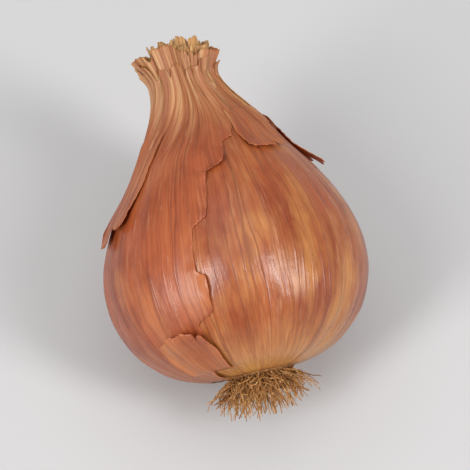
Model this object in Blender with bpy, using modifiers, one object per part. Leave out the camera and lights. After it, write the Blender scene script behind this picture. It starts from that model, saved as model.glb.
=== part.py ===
"""A small yellow onion lying on its side: the bulb in its dry skin, with the torn flakes of the outermost
skin and the papery dried neck, and the tuft of dried roots on its root plate.

Lengths are in metres and +Z is up. The onion is made standing on its roots, with its own axis along +Z and
the rim of its root end at height 0, and is then laid down so that its neck points along +Y."""

import math
import random

import bmesh
import bpy
from mathutils import Euler, Vector

MM = 0.001

# Driving sizes
BULB_RADIUS = 25 * MM
BULB_LENGTH = 52 * MM
FLAT_DEPTH = 1.2 * MM
GAP = 0.3 * MM
WELD = 0.006 * MM

# Outline of the bulb and its neck, from the root rim to the mouth of the neck:
# (height as a share of BULB_LENGTH, radius as a share of BULB_RADIUS)
OUTLINE = (
    (0.000, 0.29),
    (0.010, 0.42),
    (0.055, 0.65),
    (0.150, 0.86),
    (0.265, 0.97),
    (0.375, 1.00),
    (0.480, 0.97),
    (0.580, 0.895),
    (0.680, 0.785),
    (0.780, 0.645),
    (0.880, 0.485),
    (0.970, 0.335),
    (1.045, 0.235),
    (1.110, 0.190),
    (1.165, 0.200),
    (1.220, 0.230),
)
OUTLINE_STEPS = 20
SKIN_ROWS = 35
SIDES = 84

# The bulb isn't quite round, and it lies on its flattest side: (number of lobes, share of the radius,
# phase in degrees)
LOBES = ((2, 0.018, 0), (3, 0.010, -90), (5, 0.006, 90))

# Pleats of the dry skin, deep at the neck and shallow on the belly
PLEATS = 21
PLEAT_ON_BELLY = 0.10 * MM
PLEAT_AT_ROOT = 0.22 * MM
PLEAT_AT_NECK = 0.42 * MM

# The neck is pinched flat, twisted and bent over a little
NECK_FROM = 0.66
NECK_FLATTENING = 0.38
NECK_FLAT_ANGLE = math.radians(-12)
NECK_TWIST = math.radians(24)
NECK_BEND = Vector((-2.4 * MM, -1.6 * MM, 0))

# The mouth of the neck holds an inner sheath. Rows from its middle outwards:
# (share of the mouth's radius, rise above the mouth, share of the inner raggedness, of the outer one)
MOUTH_ROWS = (
    (0.00, -3.0 * MM, 0.0, 0.0),
    (0.18, -2.8 * MM, 0.0, 0.0),
    (0.30, 2.2 * MM, 1.0, 0.0),
    (0.50, 2.0 * MM, 1.0, 0.0),
    (0.60, -2.6 * MM, 0.0, 0.0),
    (0.70, -2.6 * MM, 0.0, 0.0),
    (0.78, -0.2 * MM, 0.0, 1.0),
)
RAGGED_INNER = 1.6 * MM
RAGGED_OUTER = 1.9 * MM

# The shallow socket in the root end that holds the root plate: (radius, height), from the rim inwards
SOCKET_RADIUS = 6.5 * MM
SOCKET_DEPTH = 1.6 * MM
SOCKET_ROWS = (
    (SOCKET_RADIUS + 0.25 * MM, 0.35 * MM),
    (SOCKET_RADIUS, SOCKET_DEPTH * 0.75),
    (SOCKET_RADIUS * 0.85, SOCKET_DEPTH),
    (0.0, SOCKET_DEPTH),
)

# Torn flakes of the outermost skin, on the rows and columns of the bulb's own surface: (row where it
# holds on, row where it ends, first and last column, lift of the free edge, phase of the torn edge)
FLAKE_THICKNESS = 0.6 * MM
FLAKE_SUNK = 0.35 * MM
FLAKE_ROOT_SUNK = 0.85 * MM
FLAKE_OPENING = 0.25 * MM
FLAKES = (
    (28, 17, 37, 50, 1.5 * MM, 0.3),
    (29, 22, 67, 77, 1.7 * MM, 2.2),
    (3, 9, 49, 57, 1.5 * MM, 4.1),
    (28, 20, -3, 8, 1.6 * MM, 1.2),
    (3, 8, 5, 15, 1.1 * MM, 3.4),
    (28, 20, 24, 33, 1.4 * MM, 0.9),
)
FLAKE_FREE_FROM = 0.58

# Root plate and dried roots
PLATE_RADIUS = SOCKET_RADIUS - GAP
PLATE_HALF_THICKNESS = 1.2 * MM
PLATE_MIDDLE = 0.1 * MM
ROOT_COUNT = 56
ROOT_SEED = 11
ROOT_RADIUS = 0.40 * MM
ROOT_TIP_SHARE = 0.75
ROOT_POINTS = 5
ROOT_SUNK = 0.5 * MM
ROOT_LENGTHS = (4.5 * MM, 8.5 * MM)
ROOT_FIELD = 5.1 * MM
ROOT_LEAN_MIDDLE = math.radians(14)
ROOT_LEAN_EDGE = math.radians(50)
ROOT_CURL = math.radians(30)
ROOT_WANDER = math.radians(80)
GOLDEN_ANGLE = math.radians(137.508)

# How the onion lies: on its belly, with its neck raised off the surface
NECK_RAISED = math.radians(24)

SKIN_COLOUR = (0.49, 0.17, 0.06, 1)
ROOT_COLOUR = (0.42, 0.27, 0.12, 1)


def clear_scene():
    for obj in list(bpy.data.objects):
        bpy.data.objects.remove(obj)


def collection(name):
    made = bpy.data.collections.new(name)
    bpy.context.scene.collection.children.link(made)
    return made


def material(name, colour, roughness):
    made = bpy.data.materials.new(name)
    made.use_nodes = True
    shader = made.node_tree.nodes["Principled BSDF"]
    shader.inputs["Base Color"].default_value = colour
    shader.inputs["Roughness"].default_value = roughness
    return made


def evaluated_mesh(obj):
    """The object's mesh with its modifiers applied, in its own space."""
    graph = bpy.context.evaluated_depsgraph_get()
    return bpy.data.meshes.new_from_object(obj.evaluated_get(graph))


def smooth_step(low, high, value):
    share = min(1.0, max(0.0, (value - low) / (high - low)))
    return share * share * (3 - 2 * share)


def smooth_outline():
    """(radius, height) points close together on a smooth curve through OUTLINE, and their distances."""
    knots = [Vector((r * BULB_RADIUS, z * BULB_LENGTH)) for z, r in OUTLINE]
    first, last = knots[0] * 2 - knots[1], knots[-1] * 2 - knots[-2]
    knots = [first, *knots, last]
    points = []
    for before, start, end, after in zip(knots, knots[1:], knots[2:], knots[3:]):
        for step in range(OUTLINE_STEPS):
            t = step / OUTLINE_STEPS
            points.append(
                start
                + (end - before) * (t / 2)
                + (before * 2 - start * 5 + end * 4 - after) * (t * t / 2)
                + (start * 3 - before - end * 3 + after) * (t * t * t / 2)
            )
    points.append(knots[-2])
    distances = [0.0]
    for start, end in zip(points, points[1:]):
        distances.append(distances[-1] + (end - start).length)
    return points, distances


OUTLINE_POINTS, OUTLINE_DISTANCES = smooth_outline()


def outline_at(along):
    """Radius, height and outward normal of the outline, from 0 at the root rim to 1 at the mouth."""
    wanted = along * OUTLINE_DISTANCES[-1]
    index = 1
    while index < len(OUTLINE_POINTS) - 1 and OUTLINE_DISTANCES[index] < wanted:
        index += 1
    start, end = OUTLINE_POINTS[index - 1], OUTLINE_POINTS[index]
    piece = OUTLINE_DISTANCES[index] - OUTLINE_DISTANCES[index - 1]
    place = start.lerp(end, (wanted - OUTLINE_DISTANCES[index - 1]) / piece)
    ahead = (end - start).normalized()
    return place.x, place.y, Vector((ahead.y, -ahead.x))


def relief(along, angle, radius):
    """How far the skin stands out from a turned shape, from its lobes and its pleats."""
    lobes = sum(
        share * math.cos(count * angle + math.radians(phase))
        for count, share, phase in LOBES
    )
    warped = angle + 0.07 * math.sin(3 * angle + 1.0) + 0.05 * math.sin(7 * angle + 2.0)
    depth = (
        PLEAT_ON_BELLY
        + PLEAT_AT_ROOT * (1 - smooth_step(0.08, 0.30, along)) * smooth_step(0.0, 0.06, along)
        + PLEAT_AT_NECK * smooth_step(0.62, 0.86, along)
    )
    fade = smooth_step(0.0, 0.05, along)
    return lobes * radius * fade + depth * math.cos(PLEATS * warped) * fade


def neck_place(radius, angle, height, along):
    """A point with the neck's pinch, twist and bend, which grow from the shoulder to the mouth."""
    grown = smooth_step(NECK_FROM, 1.0, along)
    radius *= 1 + NECK_FLATTENING * grown * math.cos(2 * (angle - NECK_FLAT_ANGLE))
    turned = angle + NECK_TWIST * grown
    return Vector((radius * math.cos(turned), radius * math.sin(turned), height)) + NECK_BEND * grown**2


def skin_at(along, angle, lift=0.0):
    radius, height, normal = outline_at(along)
    radius += relief(along, angle, radius) + lift * normal.x
    return neck_place(radius, angle, height + lift * normal.y, along)


def ragged(angle, phase):
    """The height of a torn papery edge round the neck, from about -1 to 1."""
    tooth = abs((3.5 * angle / math.pi + phase) % 2 - 1)
    return (
        0.45 * math.sin(2 * angle + phase)
        + 0.30 * math.sin(5 * angle + 2.1 * phase)
        + 0.35 * (tooth * 2 - 1)
    )


def mouth_at(row, angle):
    """A point on the inner sheath, the groove round it or the lip of the neck."""
    share, rise, inner, outer = row
    radius, height, _ = outline_at(1.0)
    radius = (radius + relief(1.0, angle, radius)) * share
    rise += inner * RAGGED_INNER * ragged(angle, 1.7) + outer * RAGGED_OUTER * ragged(angle, 0.4)
    return neck_place(radius, angle, height + rise, 1.0)


def onion_rows():
    """A function of the angle for each row of the surface, from the middle of the mouth to the roots."""
    rows = [lambda angle, row=row: mouth_at(row, angle) for row in MOUTH_ROWS]
    rows.append(lambda angle: skin_at(1.0, angle) + Vector((0, 0, RAGGED_OUTER * ragged(angle, 0.4))))
    for index in range(SKIN_ROWS - 1, -1, -1):
        along = index / SKIN_ROWS
        rows.append(lambda angle, along=along: skin_at(along, angle))
    for radius, height in SOCKET_ROWS:
        rows.append(
            lambda angle, radius=radius, height=height: Vector(
                (radius * math.cos(angle), radius * math.sin(angle), height)
            )
        )
    return rows


def turned_bulb(place_in):
    """The bulb turned from its profile with a Screw modifier, then shaped by the relief of its skin."""
    rows = onion_rows()
    mesh = bpy.data.meshes.new("bulb_profile")
    profile = [row(0.0) for row in rows]
    points = [(math.hypot(p.x, p.y), 0, p.z) for p in profile]
    points[0] = (0, 0, profile[0].z)
    points[-1] = (0, 0, profile[-1].z)
    mesh.from_pydata(points, [(i, i + 1) for i in range(len(points) - 1)], [])
    mesh.attributes.new("row", "INT", "POINT").data.foreach_set("value", range(len(points)))
    obj = bpy.data.objects.new("bulb_profile", mesh)
    place_in.objects.link(obj)
    screw = obj.modifiers.new("turned", "SCREW")
    screw.axis = "Z"
    screw.steps = screw.render_steps = SIDES
    screw.use_merge_vertices = True
    screw.merge_threshold = 0.00001
    turned = evaluated_mesh(obj)
    bpy.data.objects.remove(obj)
    row_of = turned.attributes["row"].data
    for vertex, row in zip(turned.vertices, row_of):
        if math.hypot(vertex.co.x, vertex.co.y) > 0.00001:
            vertex.co = rows[row.value](math.atan2(vertex.co.y, vertex.co.x))
        else:
            vertex.co.x, vertex.co.y = rows[row.value](0.0).xy
    turned.attributes.remove(turned.attributes["row"])
    return turned


def torn(place, phase):
    """A torn edge's wander, from about -1 to 1, at this place along it."""
    tooth = abs((0.9 * place + phase) % 2 - 1)
    return 0.5 * math.sin(1.3 * place + phase) + 0.5 * (tooth * 2 - 1)


def flake(number, held, end, first, last, lift, phase, place_in):
    """A torn flake of the outermost skin: one end is part of the skin, the other is free and curls up."""
    columns, rows = last - first, abs(end - held)
    shape = bmesh.new()
    bmesh.ops.create_grid(shape, x_segments=columns, y_segments=rows, size=1)
    for vertex in shape.verts:
        column = round((vertex.co.x + 1) / 2 * columns)
        row = round((vertex.co.y + 1) / 2 * rows)
        down = row / rows
        free = smooth_step(FLAKE_FREE_FROM, 1.0, down)
        rise = -FLAKE_ROOT_SUNK if row == 0 else -FLAKE_SUNK
        if free > 0:
            rise = FLAKE_OPENING + lift * free
        side = 2 * column / columns - 1
        wander = column - 0.45 * (column == columns) + 0.45 * (column == 0)
        wander += abs(side) ** 6 * 0.28 * torn(row, phase + 2 * (side > 0)) - 0.2 * columns * side * free
        reach = row + 0.45 * (row == 0) + free * (0.9 * torn(column, phase) - 1.1 * side * side)
        along = (held + (end - held) * reach / rows) / SKIN_ROWS
        angle = (first + wander) * 2 * math.pi / SIDES
        vertex.co = skin_at(along, angle, rise + free * lift * 0.2 * math.cos(3 * side + phase))
    mesh = bpy.data.meshes.new(f"flake_{number}")
    shape.to_mesh(mesh)
    shape.free()
    obj = bpy.data.objects.new(f"flake_{number}", mesh)
    place_in.objects.link(obj)
    patch = mesh.polygons[0]
    outwards = Vector((patch.center.x, patch.center.y, 0))
    thick = obj.modifiers.new("thickness", "SOLIDIFY")
    thick.thickness = FLAKE_THICKNESS
    thick.offset = 1 if patch.normal.dot(outwards) > 0 else -1
    return obj


def weld_slivers(mesh):
    """Welds the hair-thin triangles that a union leaves, and removes faces left lying back to back."""
    shape = bmesh.new()
    shape.from_mesh(mesh)
    bmesh.ops.triangulate(shape, faces=shape.faces)
    bmesh.ops.remove_doubles(shape, verts=shape.verts, dist=WELD)
    twins = {}
    for face in shape.faces:
        twins.setdefault(frozenset(face.verts), []).append(face)
    flaps = [face for group in twins.values() if len(group) > 1 for face in group]
    bmesh.ops.delete(shape, geom=flaps, context="FACES_ONLY")
    loose = [
        face for face in shape.faces if {1, 3} <= {len(edge.link_faces) for edge in face.edges}
    ]
    bmesh.ops.delete(shape, geom=loose, context="FACES_ONLY")
    shape.to_mesh(mesh)
    shape.free()


def join_all(base, collection_of_solids, solver):
    """Fuses the collection's solids into base with one Boolean union, and removes them."""
    union = base.modifiers.new("fused", "BOOLEAN")
    union.operation = "UNION"
    union.solver = solver
    union.operand_type = "COLLECTION"
    union.collection = collection_of_solids
    fused = evaluated_mesh(base)
    weld_slivers(fused)
    base.modifiers.remove(union)
    base.data = fused
    for obj in list(collection_of_solids.objects):
        bpy.data.objects.remove(obj)
    bpy.data.collections.remove(collection_of_solids)


def make_bulb(place_in, skin):
    mesh = turned_bulb(place_in)
    mesh.name = "bulb"
    obj = bpy.data.objects.new("bulb", mesh)
    place_in.objects.link(obj)
    flakes = collection("flakes")
    for number, sizes in enumerate(FLAKES):
        flake(number, *sizes, flakes)
    join_all(obj, flakes, "MANIFOLD")
    obj.data.materials.clear()
    obj.data.materials.append(skin)
    obj.data.shade_smooth()
    obj.data.set_sharp_from_angle(angle=math.radians(40))
    return obj


def root_path(number, chance):
    """Points along one dried root, from inside the root plate outwards and down."""
    share = math.sqrt((number + 0.5) / ROOT_COUNT)
    swing = number * GOLDEN_ANGLE
    lean = ROOT_LEAN_MIDDLE + (ROOT_LEAN_EDGE - ROOT_LEAN_MIDDLE) * share
    lean *= chance.uniform(0.8, 1.08)
    distance = ROOT_FIELD * share
    dome = math.sqrt(1 - (distance / PLATE_RADIUS) ** 2)
    place = Vector((distance * math.cos(swing), distance * math.sin(swing), PLATE_MIDDLE))
    place.z += ROOT_SUNK - PLATE_HALF_THICKNESS * dome
    step = (chance.uniform(*ROOT_LENGTHS) + ROOT_SUNK) / (ROOT_POINTS - 1)
    curl = chance.uniform(-1.0, 1.0) * ROOT_CURL
    wander = chance.uniform(-1.0, 1.0) * ROOT_WANDER
    points = [place.copy()]
    for index in range(1, ROOT_POINTS):
        share_out = index / (ROOT_POINTS - 1)
        tilt = min(lean + curl * share_out, math.radians(76))
        turn = swing + wander * share_out
        place += step * Vector(
            (math.sin(tilt) * math.cos(turn), math.sin(tilt) * math.sin(turn), -math.cos(tilt))
        )
        points.append(place.copy())
    return points


def root_solid(number, chance, place_in):
    """One dried root: a thin tapering tube of four sides."""
    line = bpy.data.curves.new(f"root_{number}", "CURVE")
    line.dimensions = "3D"
    line.bevel_depth = ROOT_RADIUS
    line.bevel_resolution = 0
    line.use_fill_caps = True
    points = root_path(number, chance)
    spline = line.splines.new("POLY")
    spline.points.add(len(points) - 1)
    for index, (point, place) in enumerate(zip(spline.points, points)):
        point.co = (*place, 1)
        point.radius = 1 - (1 - ROOT_TIP_SHARE) * index / (len(points) - 1)
    tube = bpy.data.objects.new(f"root_{number}", line)
    place_in.objects.link(tube)
    mesh = evaluated_mesh(tube)
    bpy.data.objects.remove(tube)
    shape = bmesh.new()
    shape.from_mesh(mesh)
    bmesh.ops.remove_doubles(shape, verts=shape.verts, dist=0.00001)
    shape.to_mesh(mesh)
    shape.free()
    place_in.objects.link(bpy.data.objects.new(f"root_{number}", mesh))


def make_root_tuft(place_in, roots):
    """The root plate, a low button set in the bulb's socket, with its dried roots fused to it."""
    bpy.ops.mesh.primitive_uv_sphere_add(segments=28, ring_count=10, radius=1)
    obj = bpy.context.object
    obj.name = obj.data.name = "root_tuft"
    for vertex in obj.data.vertices:
        vertex.co.x *= PLATE_RADIUS
        vertex.co.y *= PLATE_RADIUS
        vertex.co.z = vertex.co.z * PLATE_HALF_THICKNESS + PLATE_MIDDLE
    for home in list(obj.users_collection):
        home.objects.unlink(obj)
    place_in.objects.link(obj)
    strands = collection("roots")
    chance = random.Random(ROOT_SEED)
    for number in range(ROOT_COUNT):
        root_solid(number, chance, strands)
    join_all(obj, strands, "MANIFOLD")
    obj.data.materials.clear()
    obj.data.materials.append(roots)
    return obj


def lay_down(parts, cutters):
    """Lays the onion on its side on an empty, and cuts the small flat spot that it rests on."""
    axis = bpy.data.objects.new("onion_axis", None)
    bpy.context.scene.collection.objects.link(axis)
    turn = Euler((NECK_RAISED - math.pi / 2, 0, 0)).to_matrix()
    points = [turn @ vertex.co for vertex in parts[0].data.vertices]
    bottom = min(point.z for point in points) + FLAT_DEPTH
    spot = [point for point in points if point.z < bottom]
    centre = sum(spot, Vector()) / len(spot)
    axis.location = (-centre.x, -centre.y, -bottom)
    axis.rotation_euler = turn.to_euler()
    for part in parts:
        part.parent = axis
    bpy.ops.mesh.primitive_cube_add(size=1)
    table = bpy.context.object
    table.name = "resting_spot_cutter"
    for vertex in table.data.vertices:
        vertex.co *= 2 * BULB_RADIUS
        vertex.co.z -= BULB_RADIUS
    table.hide_render = True
    table.display_type = "WIRE"
    for home in list(table.users_collection):
        home.objects.unlink(table)
    cutters.objects.link(table)
    cut = parts[0].modifiers.new("resting_spot", "BOOLEAN")
    cut.operation = "DIFFERENCE"
    cut.solver = "EXACT"
    cut.object = table


def main():
    clear_scene()
    onion = collection("yellow_onion")
    cutters = collection("cutters")
    skin = material("dry_onion_skin", SKIN_COLOUR, 0.38)
    roots = material("dried_roots", ROOT_COLOUR, 0.85)
    bulb = make_bulb(onion, skin)
    tuft = make_root_tuft(onion, roots)
    lay_down((bulb, tuft), cutters)


main()
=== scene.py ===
"""A small yellow onion lying on its side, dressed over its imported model: dry skin, torn flakes, papery
neck and dried roots, on a plain pale floor in soft studio light."""

import bisect
import math
import random

import bmesh
import bpy
from mathutils import Euler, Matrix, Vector, noise


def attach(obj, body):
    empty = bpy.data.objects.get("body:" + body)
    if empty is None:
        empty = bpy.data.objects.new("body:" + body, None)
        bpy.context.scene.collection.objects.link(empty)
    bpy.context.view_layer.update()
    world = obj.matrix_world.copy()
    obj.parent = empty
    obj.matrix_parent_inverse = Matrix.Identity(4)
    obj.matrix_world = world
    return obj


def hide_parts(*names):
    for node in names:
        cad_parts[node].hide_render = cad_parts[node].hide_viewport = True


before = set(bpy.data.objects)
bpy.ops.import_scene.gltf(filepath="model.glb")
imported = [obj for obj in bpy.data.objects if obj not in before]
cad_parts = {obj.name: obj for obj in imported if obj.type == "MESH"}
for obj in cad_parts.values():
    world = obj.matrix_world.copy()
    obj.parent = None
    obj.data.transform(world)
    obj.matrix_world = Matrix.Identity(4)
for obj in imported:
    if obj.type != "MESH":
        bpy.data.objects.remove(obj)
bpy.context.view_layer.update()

# Dry skin
# The outermost whole skin of the bulb: a dried leaf base, thin as paper, shrunk tight over the fleshy
# layers. It grew from the root plate up to the neck, so its veins and folds all run that way.

MM = 0.001
BULB_RADIUS = 25 * MM
BULB_LENGTH = 52 * MM
OUTLINE = (  # (height / BULB_LENGTH, radius / BULB_RADIUS), from the root rim to the mouth of the neck
    (0.000, 0.29),
    (0.010, 0.42),
    (0.055, 0.65),
    (0.150, 0.86),
    (0.265, 0.97),
    (0.375, 1.00),
    (0.480, 0.97),
    (0.580, 0.895),
    (0.680, 0.785),
    (0.780, 0.645),
    (0.880, 0.485),
    (0.970, 0.335),
    (1.045, 0.235),
    (1.110, 0.190),
    (1.165, 0.200),
    (1.220, 0.230),
)
OUTLINE_STEPS = 20
SKIN_SIDES = 360
SKIN_ROWS = 165
ROW_STEP = 0.01  # between the rows as they are spun, before they get their shape
LOBES = ((2, 0.018, 0), (3, 0.010, -90), (5, 0.006, 90))  # (count, share of the radius, degrees)
NECK_FROM = 0.66  # along, where its pinch, twist and bend start
NECK_FLATTENING = 0.38
NECK_FLAT_ANGLE = math.radians(-12)
NECK_TWIST = math.radians(24)
NECK_BEND = Vector((-2.4 * MM, -1.6 * MM, 0))
NECK_HOLLOW = (0.84, 0.88, 0.92, 0.95, 0.975, 0.99)  # along, from the bottom of the neck's hollow
NECK_WALL = 0.35 * MM  # how thick the skin is there, and how thick at the lip
NECK_LIP = 0.2 * MM
RAGGED_LIP = 1.9 * MM
RAGGED_FROM = 0.90
LIP_CURL = 0.6 * MM
LIP_CURL_FROM = 0.94
LAID_AT = Vector((-0.134, -18.751, 14.901)) * MM  # where the middle of the root rim lies
LAID_TURN = Euler((math.radians(24 - 90), 0, 0)).to_matrix()  # on its side, with its neck raised
# (radius, height) of the skin's last rows, which close it in a hollow behind the root plate
SOCKET = ((6.75 * MM, 0.35 * MM), (6.5 * MM, 1.2 * MM), (5.5 * MM, 1.6 * MM), (0.0, 1.6 * MM))


def smooth_step(low, high, value):
    share = min(1.0, max(0.0, (value - low) / (high - low)))
    return share * share * (3 - 2 * share)


def smooth_outline():
    """Points close together on a smooth curve through OUTLINE, with their distances along it."""
    knots = [Vector((r * BULB_RADIUS, z * BULB_LENGTH)) for z, r in OUTLINE]
    knots = [knots[0] * 2 - knots[1], *knots, knots[-1] * 2 - knots[-2]]
    points = []
    for before, start, end, after in zip(knots, knots[1:], knots[2:], knots[3:]):
        for step in range(OUTLINE_STEPS):
            t = step / OUTLINE_STEPS
            points.append(
                start
                + (end - before) * (t / 2)
                + (before * 2 - start * 5 + end * 4 - after) * (t * t / 2)
                + (start * 3 - before - end * 3 + after) * (t * t * t / 2)
            )
    points.append(knots[-2])
    distances = [0.0]
    for start, end in zip(points, points[1:]):
        distances.append(distances[-1] + (end - start).length)
    return points, distances


outline_points, outline_distances = smooth_outline()
outline_length = outline_distances[-1]


def outline_at(along):
    """Radius, height and outward normal of the outline, from 0 at the root rim to 1 at the mouth."""
    wanted = along * outline_length
    index = min(max(bisect.bisect_left(outline_distances, wanted), 1), len(outline_points) - 1)
    start, end = outline_points[index - 1], outline_points[index]
    stretch = outline_distances[index] - outline_distances[index - 1]
    place = start.lerp(end, (wanted - outline_distances[index - 1]) / stretch)
    ahead = (end - start).normalized()
    return place.x, place.y, Vector((ahead.y, -ahead.x))


def relief(along, angle, radius):
    """How far the skin stands out from a turned bulb: its lobes, folds, pleats and wrinkles."""
    round_it = Vector((math.cos(angle), math.sin(angle), 0))
    lobes = sum(share * math.cos(n * angle + math.radians(phase)) for n, share, phase in LOBES)
    neck = smooth_step(0.62, 0.90, along)
    root = (1 - smooth_step(0.06, 0.30, along)) * smooth_step(0.0, 0.05, along)
    warp = round_it * 2.2 + Vector((5, 2, along * 3.0))
    warped = angle + 0.16 * noise.noise(warp) + 0.05 * math.sin(7 * angle + 2.0)
    pleats = 0.50 * math.cos(21 * warped) + 1.0 * (0.5 - abs(math.sin(6.5 * warped + 1.3 * along)))
    folds = noise.noise(round_it * 5.5 + Vector((0, 0, along * 2.6)))
    creases = 0.5 - 2 * abs(noise.noise(round_it * 9.0 + Vector((3, 1, along * 1.8))))
    dents = noise.noise(round_it * 2.6 + Vector((7, 4, along * 5.5)))
    puckers = noise.noise(round_it * 14.0 + Vector((1, 8, along * 17.0)))
    # Their heights are in millimetres, and the pleats and creases deepen towards the neck and the roots.
    high = pleats * (0.01 + 0.22 * root + 0.46 * neck)
    high += folds * (0.16 + 0.20 * neck) + creases * (0.05 + 0.08 * root + 0.14 * neck)
    high += dents * 0.22 * (1 - neck) + puckers * (0.045 + 0.06 * root + 0.08 * neck) - 0.07
    return (lobes * radius + high * MM) * smooth_step(0.0, 0.05, along)


def split_lip(seed, count):
    """How a papery lip split along its fibres: (where each strip ends, its height, its outward curl)."""
    draw = random.Random(seed)
    ends = sorted(draw.uniform(0, 2 * math.pi) for _ in range(count))
    return [(end, draw.uniform(-1, 1), draw.uniform(-0.2, 1.0)) for end in ends]


def ragged(angle, phase, strips):
    """The height of a torn papery edge round the neck, from about -1 to 1, and its outward curl."""
    angle %= 2 * math.pi
    index = bisect.bisect_left([strip[0] for strip in strips], angle) % len(strips)
    end, height, curl = strips[index]
    start = strips[index - 1][0]
    inside = min((angle - start) % (2 * math.pi), (end - angle) % (2 * math.pi))
    whole = smooth_step(0.0, 0.07, inside)
    height = 0.30 * height * whole - 0.75 * (1 - whole)
    height += 0.36 * math.sin(2 * angle + phase) + 0.24 * math.sin(5 * angle + 2.1 * phase)
    height += 0.22 * noise.noise(Vector((math.cos(angle) * 9, math.sin(angle) * 9, phase)))
    return height, curl * whole


def neck_place(radius, angle, height, along):
    """The neck's pinch, twist and bend, which grow from the shoulder to the mouth."""
    grown = smooth_step(NECK_FROM, 1.0, along)
    radius *= 1 + NECK_FLATTENING * grown * math.cos(2 * (angle - NECK_FLAT_ANGLE))
    turned = angle + NECK_TWIST * grown
    return Vector((radius * math.cos(turned), radius * math.sin(turned), height)) + NECK_BEND * grown**2


def laid(place, lowest=0.0):
    """A place on the standing onion, where it is once the onion lies on its flat spot."""
    place = LAID_TURN @ place + LAID_AT
    place.z = max(place.z, lowest)
    return place


skin_lip = split_lip(seed=4, count=19)


def skin_at(along, angle, lift=0.0, lowest=0.0):
    """A place on the dry skin, or lift above it, on the lying onion."""
    radius, height, normal = outline_at(along)
    if along > RAGGED_FROM:
        torn_by, curl = ragged(angle, 0.4, skin_lip)
        height += RAGGED_LIP * torn_by * smooth_step(RAGGED_FROM, 1.0, along)
        lift += LIP_CURL * curl * smooth_step(LIP_CURL_FROM, 1.0, along)
    radius += relief(along, angle, radius) + lift * normal.x
    height += lift * normal.y
    return laid(neck_place(radius, angle, height, along), lowest)


def grain_at(along, angle):
    """Round the bulb and along it in millimetres of its belly, so that patterns follow the fibres."""
    belly = BULB_RADIUS / MM
    return Vector((belly * math.cos(angle), belly * math.sin(angle), along * outline_length / MM))


def piece(name, shape, finish, body="root"):
    """A finished piece of the onion from its bmesh, riding on the onion."""
    mesh = bpy.data.meshes.new(name)
    shape.to_mesh(mesh)
    shape.free()
    mesh.shade_smooth()
    mesh.materials.append(finish)
    made = bpy.data.objects.new(name, mesh)
    bpy.context.scene.collection.objects.link(made)
    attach(made, body)
    return made


def linear(code):
    """The linear colour of an sRGB hex code."""
    parts = [int(code[i : i + 2], 16) / 255 for i in (1, 3, 5)]
    return (*(p / 12.92 if p <= 0.04045 else ((p + 0.055) / 1.055) ** 2.4 for p in parts), 1.0)


def add(tree, kind, inputs=(), **settings):
    """A node of that kind, with its settings, and with a link or a value on each named input."""
    made = tree.nodes.new("ShaderNode" + kind)
    for name, value in settings.items():
        setattr(made, name, value)
    for name, value in dict(inputs).items():
        if isinstance(value, bpy.types.NodeSocket):
            tree.links.new(value, made.inputs[name])
        else:
            made.inputs[name].default_value = value
    return made


def stretched(tree, grain, across, length, shift):
    """The grain in units of a mark that many millimetres across and long, with a shift of its own."""
    return add(
        tree,
        "VectorMath",
        {0: grain, 1: (1 / across, 1 / across, 1 / length), 2: (shift, shift, shift)},
        operation="MULTIPLY_ADD",
    ).outputs[0]


def cloud(tree, grain, across, length, shift, detail=2.0, roughness=0.5):
    """A noise whose marks are that many millimetres across and long, along the fibres of the skin."""
    place = stretched(tree, grain, across, length, shift)
    inputs = {"Vector": place, "Scale": 1.0, "Detail": detail, "Roughness": roughness}
    return add(tree, "TexNoise", inputs).outputs["Fac"]


def veins(tree, grain, across, length, shift, width):
    """Thin lines that many millimetres apart, which run along the fibres and now and then join."""
    place = stretched(tree, grain, across, length, shift)
    cells = add(tree, "TexVoronoi", {"Vector": place, "Scale": 1.0}, feature="DISTANCE_TO_EDGE")
    return add(
        tree,
        "MapRange",
        {"Value": cells.outputs["Distance"], "From Min": width / across, "From Max": 0.0},
        interpolation_type="SMOOTHSTEP",
    ).outputs[0]


def stained(tree, under, code, pattern, low, high, most=1.0):
    """The colour under, stained with the hex code where the pattern goes from low to high."""
    amount = add(
        tree,
        "MapRange",
        {"Value": pattern, "From Min": low, "From Max": high, "To Max": most},
        interpolation_type="SMOOTHSTEP",
    ).outputs[0]
    return add(tree, "Mix", {0: amount, 6: under, 7: linear(code)}, data_type="RGBA").outputs[2]


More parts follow.
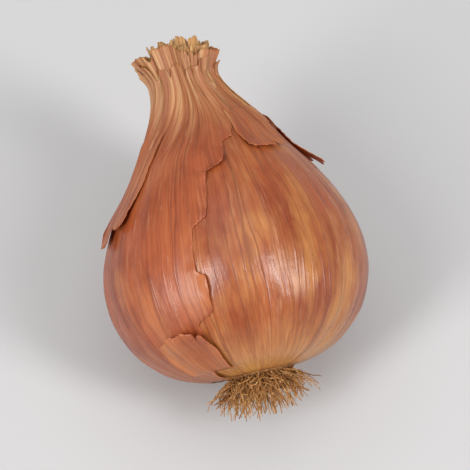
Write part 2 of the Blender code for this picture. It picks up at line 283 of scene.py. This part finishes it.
def dry_skin(name, umber, copper, amber, rootward, neckward, roughness, worn):
    """Dried onion skin: papery leaf base, see-through brown over paler flesh, with a waxy silk gloss.
    Its fibres run from root to neck, a vein every 2 to 3 mm at the belly, and break up its highlights."""
    made = bpy.data.materials.new(name)
    made.use_nodes = True
    tree = made.node_tree
    tree.nodes.clear()
    grain = add(tree, "Attribute", attribute_name="grain").outputs["Vector"]
    from_root = add(tree, "SeparateXYZ", {0: grain}).outputs[2]
    place = stretched(tree, grain, 10, 16, 2.0)
    sway = add(tree, "TexNoise", {"Vector": place, "Scale": 1.0, "Detail": 2.0})
    swayed = add(
        tree,
        "VectorMath",
        {0: sway.outputs["Color"], 1: (2.4, 2.4, 0.0), 2: grain},
        operation="MULTIPLY_ADD",
    ).outputs[0]

    # Marks, by the millimetres that they are across and long. The fibres and crinkles are coarser than
    # the real ones, which are too fine to show.
    blotches = cloud(tree, swayed, 8, 13, 0.0, 4.0, 0.6)
    flushes = cloud(tree, swayed, 11, 19, 21.0, 3.0, 0.55)
    bands = cloud(tree, swayed, 3.0, 30, 7.3, 3.0, 0.55)
    streaks = cloud(tree, swayed, 1.1, 11, 3.1, 3.0, 0.6)
    fibres = cloud(tree, swayed, 0.34, 6, 5.7, 2.0, 0.6)
    crinkles = cloud(tree, swayed, 1.3, 1.1, 9.1, 4.0, 0.6)
    fading = cloud(tree, swayed, 5, 22, 13.0)
    scuffs = cloud(tree, swayed, 2.2, 7, 11.0, 5.0, 0.65)
    spots = cloud(tree, swayed, 1.0, 1.5, 17.0, 3.0, 0.6)
    wide_veins = veins(tree, swayed, 2.8, 95, 1.9, 0.26)
    fine_veins = veins(tree, swayed, 1.2, 36, 4.9, 0.14)

    colour = stained(tree, linear(umber), copper, blotches, 0.36, 0.56)
    colour = stained(tree, colour, amber, flushes, 0.48, 0.68, 0.8)
    colour = stained(tree, colour, "#a34d33", flushes, 0.45, 0.30, 0.55)
    colour = stained(tree, colour, rootward, from_root, 20, 2, 0.75)
    colour = stained(tree, colour, "#a04a22", from_root, 34, 50, 0.35)
    colour = stained(tree, colour, neckward, from_root, 54, 72, 0.78)
    colour = stained(tree, colour, umber, bands, 0.52, 0.70, 0.36)
    colour = stained(tree, colour, amber, bands, 0.46, 0.30, 0.30)
    colour = stained(tree, colour, "#7a3314", streaks, 0.55, 0.75, 0.28)
    colour = stained(tree, colour, "#d59a66", streaks, 0.44, 0.28, 0.24)
    colour = stained(tree, colour, "#6a2c12", fibres, 0.56, 0.76, 0.22)
    straw = add(
        tree,
        "MapRange",
        {"Value": from_root, "From Min": 54, "From Max": 72, "To Max": 0.55},
        interpolation_type="SMOOTHSTEP",
    ).outputs[0]
    colour = stained(tree, colour, "#cda471", bands, 0.54, 0.36, straw)
    faded = add(
        tree,
        "MapRange",
        {"Value": fading, "From Min": 0.34, "From Max": 0.62, "To Max": 0.58},
        interpolation_type="SMOOTHSTEP",
    ).outputs[0]
    wide_lines = add(tree, "Math", {0: wide_veins, 1: faded}, operation="MULTIPLY").outputs[0]
    fine_lines = add(tree, "Math", {0: fine_veins, 1: 0.27}, operation="MULTIPLY").outputs[0]
    lines = add(tree, "Math", {0: wide_lines, 1: fine_lines}, operation="MAXIMUM").outputs[0]
    colour = add(tree, "Mix", {0: lines, 6: colour, 7: linear("#64280f")}, data_type="RGBA").outputs[2]
    colour = stained(tree, colour, "#cfa183", scuffs, 0.60, 0.70, worn)
    colour = stained(tree, colour, "#4a2410", spots, 0.70, 0.77, 0.55)

    height = 0.0
    for marks, deep in (
        (wide_veins, 0.035),
        (fine_veins, 0.010),
        (streaks, 0.035),
        (fibres, 0.009),
        (crinkles, 0.05),
    ):
        height = add(tree, "Math", {0: marks, 1: deep, 2: height}, operation="MULTIPLY_ADD").outputs[0]
    bump = add(tree, "Bump", {"Height": height, "Distance": 1 * MM, "Strength": 1.0})

    dullness = roughness
    for pattern, low, high, least, most in (
        (bands, 0.30, 0.70, -0.05, 0.07),
        (scuffs, 0.60, 0.70, 0.0, 0.14),
        (from_root, 42, 66, 0.0, 0.22),
    ):
        more = add(
            tree,
            "MapRange",
            {"Value": pattern, "From Min": low, "From Max": high, "To Min": least, "To Max": most},
            interpolation_type="SMOOTHSTEP",
        ).outputs[0]
        dullness = add(tree, "Math", {0: more, 1: dullness}, operation="ADD").outputs[0]
    shader = add(
        tree,
        "BsdfPrincipled",
        {
            "Base Color": colour,
            "Roughness": dullness,
            "IOR": 1.52,
            "Subsurface Weight": 0.10,
            "Subsurface Radius": (2.0, 0.8, 0.3),
            "Subsurface Scale": 1.0 * MM,
            "Normal": bump.outputs[0],
        },
    )
    out = add(tree, "OutputMaterial")
    tree.links.new(shader.outputs[0], out.inputs[0])
    return made


inner_skin = dry_skin(
    "glossy_onion_skin",
    umber="#873e1c",
    copper="#9e562c",
    amber="#b97d44",
    rootward="#c28a49",
    neckward="#a26a3b",
    roughness=0.28,
    worn=0.10,
)


def skin_rows():
    """Each row of the skin, from inside the neck over its lip to the roots: (along, place by angle)."""
    bottom = NECK_HOLLOW[0]
    rows = [(bottom, lambda angle: laid(neck_place(0, 0, outline_at(bottom)[1], bottom)))]
    for along in NECK_HOLLOW:
        rows.append((along, lambda angle, along=along: skin_at(along, angle, -NECK_WALL)))
    rows.append((1.0, lambda angle: skin_at(1.0, angle, -NECK_LIP)))
    for index in range(SKIN_ROWS, -1, -1):
        along = index / SKIN_ROWS
        rows.append((along, lambda angle, along=along: skin_at(along, angle)))
    for radius, height in SOCKET:
        rows.append(
            (
                0.0,
                lambda angle, radius=radius, height=height: laid(
                    Vector((radius * math.cos(angle), radius * math.sin(angle), height))
                ),
            )
        )
    return rows


def spun(rows, sides, step, closed=False):
    """A shape spun from an upright line of points, whose layer "row" says which point each came from."""
    shape = bmesh.new()
    row_of = shape.verts.layers.int.new("row")
    for index in range(rows):
        at_pole = closed and index in (0, rows - 1)
        shape.verts.new((0 if at_pole else 1, 0, step * index))[row_of] = index
    shape.verts.ensure_lookup_table()
    for index in range(rows - 1):
        shape.edges.new((shape.verts[index], shape.verts[index + 1]))
    bmesh.ops.spin(
        shape,
        geom=shape.verts[:] + shape.edges[:],
        axis=(0, 0, 1),
        steps=sides,
        angle=2 * math.pi,
        use_merge=True,
    )
    bmesh.ops.remove_doubles(shape, verts=shape.verts, dist=0.0001)
    return shape, row_of


def wrap_skin():
    """The whole skin, closed at the bottom of its neck's hollow and behind the root plate."""
    rows = skin_rows()
    shape, row_of = spun(len(rows), SKIN_SIDES, -ROW_STEP, closed=True)
    grain = shape.verts.layers.float_vector.new("grain")
    for vert in shape.verts:
        angle = math.atan2(vert.co.y, vert.co.x)
        along, place = rows[vert[row_of]]
        vert[grain] = grain_at(along, angle)
        vert.co = place(angle)
    shape.verts.layers.int.remove(row_of)
    bmesh.ops.recalc_face_normals(shape, faces=shape.faces)
    if shape.calc_volume(signed=True) < 0:
        bmesh.ops.reverse_faces(shape, faces=shape.faces)
    return shape


skin = piece("dry_skin", wrap_skin(), inner_skin)
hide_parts("bulb")

# Outer skin
# What is left of the next skin out, a duller sheet that still wraps the neck, the left and the back. It
# split along its fibres as it dried and came away in front, where the glossier skin below it shows.

TEAR_LEFT = (  # (along, degrees) of its left edge in front, which follows a fibre and then jumps
    (0.02, 226),
    (0.10, 229),
    (0.12, 237),
    (0.25, 241),
    (0.265, 249),
    (0.36, 251),
    (0.375, 246),
    (0.47, 248),
    (0.49, 255),
    (0.61, 259),
    (0.63, 270),
    (0.70, 274),
    (0.715, 283),
    (0.80, 292),
    (0.82, 303),
    (1.0, 312),
)
TEAR_RIGHT = (
    (0.02, 52),
    (0.13, 48),
    (0.15, 39),
    (0.33, 34),
    (0.35, 25),
    (0.48, 22),
    (0.49, 28),
    (0.58, 24),
    (0.60, 8),
    (0.72, -4),
    (0.73, -14),
    (0.82, -30),
    (1.0, -42),
)
# It is laid on the same sides and rows as the skin below it, so that the two never cross.
OUTER_FIRST_SIDE = -45
OUTER_FIRST_ROW = 3
OUTER_ENDS = (0.024, 0.968)  # along, at the roots and at the neck
OUTER_WANDER = (0.006, 0.032)  # how far each end strays from there
OUTER_LIFT = 0.08 * MM
OUTER_THICKNESS = 0.12 * MM
OUTER_GRAIN = Vector((40, 0, 0))  # a shift in millimetres that gives it marks of its own
LOOSE_RIM = 3.5  # millimetres in from a torn edge where the sheet starts to lift
LEAST_RADIUS = 6 * MM  # a tear's wander is turned to an angle on at least this radius
outer_skin = dry_skin(
    "dull_outer_skin",
    umber="#84391b",
    copper="#a6532d",
    amber="#ba6c3e",
    rootward="#a65f33",
    neckward="#a66e43",
    roughness=0.34,
    worn=0.22,
)


def torn(place, phase):
    """A torn edge's wander, from about -1 to 1, at this place along it."""
    return (
        0.6 * noise.noise(Vector((place * 0.8, phase, 0)))
        + 0.5 * noise.noise(Vector((place * 2.3, phase, 3)))
        + 0.3 * noise.noise(Vector((place * 6.0, phase, 6)))
    )


def tear_at(points, along, phase):
    """The angle of a long torn edge, with the small notches that its fibres leave."""
    index = max(i for i, knot in enumerate(points[:-1]) if i == 0 or knot[0] <= along)
    (low, first), (high, last) = points[index], points[index + 1]
    share = min(1.0, max(0.0, (along - low) / (high - low)))
    length = along * outline_length / MM
    wander = (0.5 * torn(length * 0.35, phase) + 0.35 * torn(length * 1.6, phase + 3)) * MM
    angle = math.radians(first + (last - first) * share)
    return angle + wander / max(outline_at(along)[0], LEAST_RADIUS)


def sheet_outwards(shape):
    """Turns the sheet's faces away from the middle of the bulb."""
    belly = LAID_TURN @ Vector((0, 0, BULB_LENGTH * 0.4)) + LAID_AT
    if sum((face.calc_center_median() - belly).dot(face.normal) for face in shape.faces) < 0:
        bmesh.ops.reverse_faces(shape, faces=shape.faces)


def thicken(made, thickness, offset=1):
    """Gives a sheet its wall, outside it, or inside it where the offset is -1."""
    thick = made.modifiers.new("thickness", "SOLIDIFY")
    thick.thickness = thickness
    thick.offset = offset


outer_lip = split_lip(seed=23, count=15)
sheet = bmesh.new()
bmesh.ops.create_grid(sheet, x_segments=SKIN_SIDES, y_segments=SKIN_ROWS - OUTER_FIRST_ROW, size=1)
grain = sheet.verts.layers.float_vector.new("grain")
edges_at = {}
torn_away = []
for vert in sheet.verts:
    side = round((vert.co.x + 1) / 2 * SKIN_SIDES) + OUTER_FIRST_SIDE
    row = round((vert.co.y + 1) / 2 * (SKIN_ROWS - OUTER_FIRST_ROW)) + OUTER_FIRST_ROW
    along, angle = row / SKIN_ROWS, side * 2 * math.pi / SKIN_SIDES
    if row not in edges_at:
        edges_at[row] = (tear_at(TEAR_RIGHT, along, 2.6), tear_at(TEAR_LEFT, along, 7.9))
    start, stop = edges_at[row]
    bottom = OUTER_ENDS[0] + OUTER_WANDER[0] * torn(angle * 9, 1.5)
    top = OUTER_ENDS[1] + OUTER_WANDER[1] * ragged(angle, 2.9, outer_lip)[0]
    beyond = max(start - angle, angle - stop) * SKIN_SIDES / (2 * math.pi)
    if max(beyond, (bottom - along) * SKIN_ROWS, (along - top) * SKIN_ROWS) > 1:
        torn_away.append(vert)
        continue
    along = min(max(along, bottom), top)
    angle = min(max(angle, start), stop)
    length = along * outline_length / MM
    inwards = min(angle - start, stop - angle) * max(outline_at(along)[0], LEAST_RADIUS) / MM
    near = 1 - smooth_step(0.0, LOOSE_RIM, inwards)
    left_edge = angle - start > stop - angle
    curl = max(0.0, 0.10 + 1.5 * noise.noise(Vector((length * 0.13, 3 + left_edge, 9)))) * near**2
    curl *= 1 - smooth_step(0.72, 0.84, along)
    flare = max(0.0, 0.3 + noise.noise(Vector((angle * 4, 5, 2))))
    curl += 0.5 * smooth_step(top - 0.05, top, along) ** 2 * flare
    swell = Vector((math.cos(angle) * 3, math.sin(angle) * 3, length * 0.08))
    loose = 0.10 * max(0.0, noise.noise(swell))
    vert[grain] = grain_at(along, angle) + OUTER_GRAIN
    vert.co = skin_at(along, angle, OUTER_LIFT + (curl + loose) * MM, OUTER_THICKNESS)
bmesh.ops.delete(sheet, geom=torn_away, context="VERTS")
scraps = [face for face in sheet.faces if all(edge.is_boundary for edge in face.edges)]
bmesh.ops.delete(sheet, geom=scraps, context="FACES")
bmesh.ops.delete(sheet, geom=[vert for vert in sheet.verts if not vert.link_faces], context="VERTS")
for _ in range(2):
    rim = [vert for vert in sheet.verts if vert.is_boundary]
    bmesh.ops.smooth_vert(
        sheet, verts=rim, factor=0.5, use_axis_x=True, use_axis_y=True, use_axis_z=True
    )
sheet_outwards(sheet)
outer = piece("outer_skin", sheet, outer_skin)
thicken(outer, OUTER_THICKNESS)
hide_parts("bulb")

# Torn flakes
# Scraps of an older skin that have split and let go at one end. They are drier and paler than the
# whole skin, are still part of it at the other end, and curl away from it where they dried.

FLAKE_OVER = 0.22 * MM  # a flake of the outer skin starts level with it
FLAKES = (  # (along where it holds and ends, first and last degrees, lift, phase, height of its start)
    (0.800, 0.486, 159, 214, 1.5 * MM, 0.3, FLAKE_OVER),
    (0.829, 0.629, 287, 330, 1.7 * MM, 2.2, 0.0),
    (0.086, 0.257, 210, 244, 1.5 * MM, 4.1, FLAKE_OVER),
    (0.800, 0.571, -13, 34, 1.6 * MM, 1.2, FLAKE_OVER),
    (0.086, 0.229, 21, 64, 1.1 * MM, 3.4, FLAKE_OVER),
    (0.800, 0.571, 103, 141, 1.4 * MM, 0.9, FLAKE_OVER),
)
FLAKE_FREE_FROM = 0.45
FLAKE_THICKNESS = 0.16 * MM
FLAKE_CELL = 0.32 * MM
FLAKE_STRIPS = (1.6, 6.5)  # millimetres across, the narrowest and the widest
FLAKE_NOTCH = 0.4  # millimetres from a split to where a strip has its whole length
loose_skin = dry_skin(
    "loose_onion_skin",
    umber="#8e4220",
    copper="#ad6034",
    amber="#c27a46",
    rootward="#ac6736",
    neckward="#a96d40",
    roughness=0.42,
    worn=0.25,
)


def flake_strips(width, draw):
    """A flake splits along its fibres into strips: (where each ends, its reach, share of the lift)."""
    made, place = [], 0.0
    while place < 1:
        place += draw.uniform(*FLAKE_STRIPS) * MM / width
        made.append((place, draw.uniform(0.66, 1.0), draw.uniform(0.55, 1.15)))
    return made


def flake(name, held, end, first, last, lift, phase, over_skin):
    """One torn flake, from a grid laid on the skin and raised towards its free end."""
    draw = random.Random(round(phase * 10))
    width = math.radians(last - first) * outline_at((held + end) / 2)[0]
    length = abs(end - held) * outline_length
    split = flake_strips(width, draw)
    shape = bmesh.new()
    bmesh.ops.create_grid(
        shape,
        x_segments=round(width / FLAKE_CELL),
        y_segments=round(length / FLAKE_CELL),
        size=1,
    )
    grain = shape.verts.layers.float_vector.new("grain")
    for vert in shape.verts:
        over, down = (vert.co.x + 1) / 2, (vert.co.y + 1) / 2
        side = vert.co.x
        index = next((i for i, strip in enumerate(split) if over <= strip[0]), len(split) - 1)
        start = split[index - 1][0] if index else 0.0
        stop, reach, curl = split[index]
        edge = min(over - start if index else 1.0, stop - over if stop < 1 else 1.0) * width / MM
        notch = 1 - smooth_step(0.0, FLAKE_NOTCH, edge)
        free = smooth_step(FLAKE_FREE_FROM, 1.0, down)
        frayed = 0.10 * torn(over * width / MM, phase) + 0.06 * torn(over * width / MM * 0.9, phase + 2)
        reach = reach - 0.24 * notch * reach + frayed
        reach -= 0.10 * side * side
        over -= 0.10 * free * side * abs(side)
        over += 0.012 * torn(down * length / MM * 0.7, phase + side) * abs(side) ** 3
        down = down if down < FLAKE_FREE_FROM else FLAKE_FREE_FROM + (down - FLAKE_FREE_FROM) * reach
        along = held + (end - held) * down
        angle = math.radians(first + over * (last - first))
        sunk = smooth_step(0.0, 0.12, down)
        free = smooth_step(FLAKE_FREE_FROM, 1.0, down)
        rise = (0.38 * sunk - 0.22) * MM + lift * free**1.4 * (1 + (curl - 1) * (1 - notch)) + over_skin
        wavy = 0.8 + torn(down * length / MM * 0.4, phase + 4 + side)
        rise += 0.25 * MM * abs(side) ** 5 * sunk * wavy
        vert[grain] = grain_at(along, angle) + (OUTER_GRAIN if over_skin else Vector())
        vert.co = skin_at(along, angle, rise)
    sheet_outwards(shape)
    made = piece(name, shape, loose_skin)
    thicken(made, FLAKE_THICKNESS)
    return made


for number, values in enumerate(FLAKES, 1):
    scrap = flake(f"torn_flake_{number}", *values)
    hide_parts("bulb")

# Neck layers
# Inside the lip of the neck stand the dried tops of the inner leaves: flattened papery tubes, pleated
# like the skin and torn off at different heights. They are nested in each other and grip one another.

NECK_LAYERS = (  # (share of the neck's radius, height above the lip, phase)
    (0.84, 0.3 * MM, 1.1),
    (0.66, 1.2 * MM, 2.7),
    (0.48, 1.7 * MM, 4.4),
    (0.28, 1.9 * MM, 5.9),
)
NECK_LAYER_FROM = 0.88
NECK_LAYER_ROWS = 26
NECK_LAYER_SIDES = 160
NECK_LAYER_THICKNESS = 0.14 * MM
neck_paper = dry_skin(
    "dried_neck_paper",
    umber="#7d4a28",
    copper="#ac7443",
    amber="#cba06c",
    rootward="#bd8248",
    neckward="#bd9058",
    roughness=0.55,
    worn=0.30,
)


def neck_layer(name, share, above, phase):
    """One torn papery tube inside the neck."""
    lip = split_lip(seed=round(phase * 10), count=13)
    shape, row_of = spun(NECK_LAYER_ROWS + 1, NECK_LAYER_SIDES, ROW_STEP)
    grain = shape.verts.layers.float_vector.new("grain")
    for vert in shape.verts:
        angle = math.atan2(vert.co.y, vert.co.x)
        up = vert[row_of] / NECK_LAYER_ROWS
        along = NECK_LAYER_FROM + (1 - NECK_LAYER_FROM) * up
        radius, height, _ = outline_at(along)
        turned = angle + phase
        wave = 1 + 0.10 * noise.noise(Vector((math.cos(angle) * 3, math.sin(angle) * 3, phase + up)))
        radius = (radius + relief(along, turned, radius)) * share * wave
        torn_by, curl = ragged(angle, phase, lip)
        height += (above + RAGGED_LIP * 0.8 * torn_by) * up**2
        radius += 0.5 * LIP_CURL * curl * up**4
        vert[grain] = grain_at(along, turned)
        vert.co = laid(neck_place(radius, angle, height, along))
    shape.verts.layers.int.remove(row_of)
    bmesh.ops.recalc_face_normals(shape, faces=shape.faces)
    made = piece(name, shape, neck_paper)
    thicken(made, NECK_LAYER_THICKNESS, offset=-1)
    return made


for number, values in enumerate(NECK_LAYERS, 1):
    layer = neck_layer(f"neck_layer_{number}", *values)
    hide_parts("bulb")

# Root plate
# The stem of the onion, a corky button that all its leaves and roots grew from. It is set in the skin's
# root end, is rough with the scars of fallen roots, and holds the dried roots that are left.

PLATE_RADIUS = 6.2 * MM
PLATE_HALF_THICKNESS = 1.2 * MM
PLATE_MIDDLE = 0.1 * MM


def corky_fibre(name, mid, light, dark, grain_size):
    """Dried root tissue: matt straw-brown fibre with no gloss, darker where soil has stained it."""
    made = bpy.data.materials.new(name)
    made.use_nodes = True
    tree = made.node_tree
    tree.nodes.clear()
    place = add(tree, "TexCoord").outputs["Object"]
    scale = 1 / (grain_size * MM)
    stain = add(tree, "TexNoise", {"Vector": place, "Scale": scale * 0.25, "Detail": 3.0}).outputs["Fac"]
    crumbs = add(tree, "TexNoise", {"Vector": place, "Scale": scale, "Detail": 4.0}).outputs["Fac"]
    colour = stained(tree, linear(dark), mid, stain, 0.32, 0.52)
    colour = stained(tree, colour, light, crumbs, 0.50, 0.70)
    bump = add(tree, "Bump", {"Height": crumbs, "Distance": grain_size * 0.6 * MM, "Strength": 1.0})
    shader = add(
        tree,
        "BsdfPrincipled",
        {"Base Color": colour, "Roughness": 0.8, "IOR": 1.4, "Normal": bump.outputs[0]},
    )
    out = add(tree, "OutputMaterial")
    tree.links.new(shader.outputs[0], out.inputs[0])
    return made


plate_cork = corky_fibre(
    "root_plate_cork", mid="#94653a", light="#bb8c58", dark="#5f3b1f", grain_size=0.6
)
shape = bmesh.new()
bmesh.ops.create_uvsphere(shape, u_segments=96, v_segments=48, radius=1)
for vert in shape.verts:
    place = vert.co.copy()
    rough = 1 + 0.10 * noise.noise(place * 5) + 0.06 * noise.noise(place * 14)
    up = place.z * PLATE_HALF_THICKNESS * rough
    standing = Vector((place.x * PLATE_RADIUS, place.y * PLATE_RADIUS, up))
    vert.co = laid(standing + Vector((0, 0, PLATE_MIDDLE)))
bmesh.ops.recalc_face_normals(shape, faces=shape.faces)
plate = piece("root_plate", shape, plate_cork)
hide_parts("root_tuft")

# Dried roots
# A tangle of wiry roots, shrivelled after lifting and trimmed short. Each is a thin kinked thread that
# grew out of the rim or the face of the root plate.

ROOTS = 420
ROOT_SEED = 11
ROOT_POINTS = 8
ROOT_FIELD = 5.6 * MM
ROOT_RADIUS = 0.19 * MM
ROOT_LENGTHS = (3.2, 8.8)  # millimetres, the shortest and the longest
ROOT_SET_IN = 0.4 * MM
ROOT_CURL = math.radians(40)
ROOT_WANDER = math.radians(110)
ROOT_MOST_TILT = math.radians(80)
GOLDEN_ANGLE = math.radians(137.508)
chance = random.Random(ROOT_SEED)
root_fibre = corky_fibre(
    "dried_root_fibre", mid="#ab7742", light="#d0a56e", dark="#7a4c26", grain_size=0.9
)


def root_path(number):
    """Points along one dried root, from inside the root plate outwards."""
    share = math.sqrt((number + 0.5) / ROOTS)
    swing = number * GOLDEN_ANGLE
    lean = math.radians(10 + 46 * share) * chance.uniform(0.7, 1.15)
    distance = ROOT_FIELD * share
    dome = math.sqrt(max(0.0, 1 - (distance / PLATE_RADIUS) ** 2))
    place = Vector((distance * math.cos(swing), distance * math.sin(swing), 0))
    place.z = PLATE_MIDDLE + ROOT_SET_IN - PLATE_HALF_THICKNESS * dome
    step = chance.uniform(*ROOT_LENGTHS) * MM / (ROOT_POINTS - 1)
    curl = chance.uniform(-1.0, 1.0) * ROOT_CURL
    wander = chance.uniform(-1.0, 1.0) * ROOT_WANDER
    points = [place.copy()]
    for index in range(1, ROOT_POINTS):
        out = index / (ROOT_POINTS - 1)
        tilt = min(lean + curl * out + chance.uniform(-0.22, 0.22), ROOT_MOST_TILT)
        turn = swing + wander * out + chance.uniform(-0.3, 0.3)
        across = math.sin(tilt)
        place += step * Vector((across * math.cos(turn), across * math.sin(turn), -math.cos(tilt)))
        points.append(place.copy())
    return points


def root_threads():
    """All the roots as one mesh of thin tapering tubes."""
    line = bpy.data.curves.new("roots", "CURVE")
    line.dimensions = "3D"
    line.bevel_depth = ROOT_RADIUS
    line.bevel_resolution = 0
    line.use_fill_caps = True
    for number in range(ROOTS):
        points = root_path(number)
        spline = line.splines.new("POLY")
        spline.points.add(len(points) - 1)
        thick = chance.uniform(0.65, 1.25)
        for index, (point, place) in enumerate(zip(spline.points, points)):
            point.co = (*laid(place), 1)
            point.radius = thick * (1 - 0.55 * index / (len(points) - 1))
    tube = bpy.data.objects.new("roots", line)
    bpy.context.scene.collection.objects.link(tube)
    mesh = bpy.data.meshes.new_from_object(tube.evaluated_get(bpy.context.evaluated_depsgraph_get()))
    bpy.data.objects.remove(tube)
    threads = bmesh.new()
    threads.from_mesh(mesh)
    bpy.data.meshes.remove(mesh)
    bmesh.ops.remove_doubles(threads, verts=threads.verts, dist=0.002 * MM)
    return threads


roots = piece("dried_roots", root_threads(), root_fibre)
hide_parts("root_tuft")

# Floor
# A wide pale sheet of matt studio board that the onion lies on.

board = bpy.data.materials.new("matt_studio_board")
board.use_nodes = True
paint = board.node_tree.nodes["Principled BSDF"]
paint.inputs["Base Color"].default_value = linear("#b9b8b8")
paint.inputs["Roughness"].default_value = 0.9
flat = bmesh.new()
bmesh.ops.create_grid(flat, x_segments=1, y_segments=1, size=4)
floor_mesh = bpy.data.meshes.new("floor")
flat.to_mesh(floor_mesh)
flat.free()
floor_mesh.materials.append(board)
floor = bpy.data.objects.new("floor", floor_mesh)
bpy.context.scene.collection.objects.link(floor)

# Studio light
# Two tall softboxes, one on each side in front, a wide one above, and pale walls that fill the shadows.

TARGET = Vector((1, 5, 27)) * MM


def softbox(name, towards, distance, size, power):
    lamp = bpy.data.lights.new(name, "AREA")
    lamp.shape = "RECTANGLE"
    lamp.size, lamp.size_y = size
    lamp.energy = power
    box = bpy.data.objects.new(name, lamp)
    bpy.context.scene.collection.objects.link(box)
    box.location = TARGET + Vector(towards).normalized() * distance
    box.rotation_euler = (box.location - TARGET).to_track_quat("Z", "Y").to_euler()


softbox("left_softbox", (-0.72, -0.38, 0.62), distance=1.0, size=(0.24, 0.85), power=8)
softbox("right_softbox", (0.60, -0.54, 0.62), distance=1.0, size=(0.22, 0.85), power=7.5)
softbox("top_softbox", (0.0, 0.2, 1.0), distance=1.3, size=(1.3, 1.3), power=5.5)
room = bpy.data.worlds.new("pale_room")
room.use_nodes = True
room.node_tree.nodes["Background"].inputs[0].default_value = linear("#e6e7e9")
room.node_tree.nodes["Background"].inputs[1].default_value = 0.5
bpy.context.scene.world = room
bpy.context.scene.view_settings.view_transform = "Standard"

# Camera
# A long lens looking down at 60 degrees, turned so that the onion's neck leans to the left.

AZIMUTH = math.radians(-14)
ELEVATION = math.radians(60)
DISTANCE = 0.50
camera_data = bpy.data.cameras.new("camera")
camera_data.lens = 200
camera_data.sensor_width = 36
camera_data.clip_start = 0.05
camera = bpy.data.objects.new("camera", camera_data)
bpy.context.scene.collection.objects.link(camera)
backwards = Vector(
    (
        math.sin(AZIMUTH) * math.cos(ELEVATION),
        -math.cos(AZIMUTH) * math.cos(ELEVATION),
        math.sin(ELEVATION),
    )
)
camera.location = TARGET + backwards * DISTANCE
camera.rotation_euler = backwards.to_track_quat("Z", "Y").to_euler()
bpy.context.scene.camera = camera
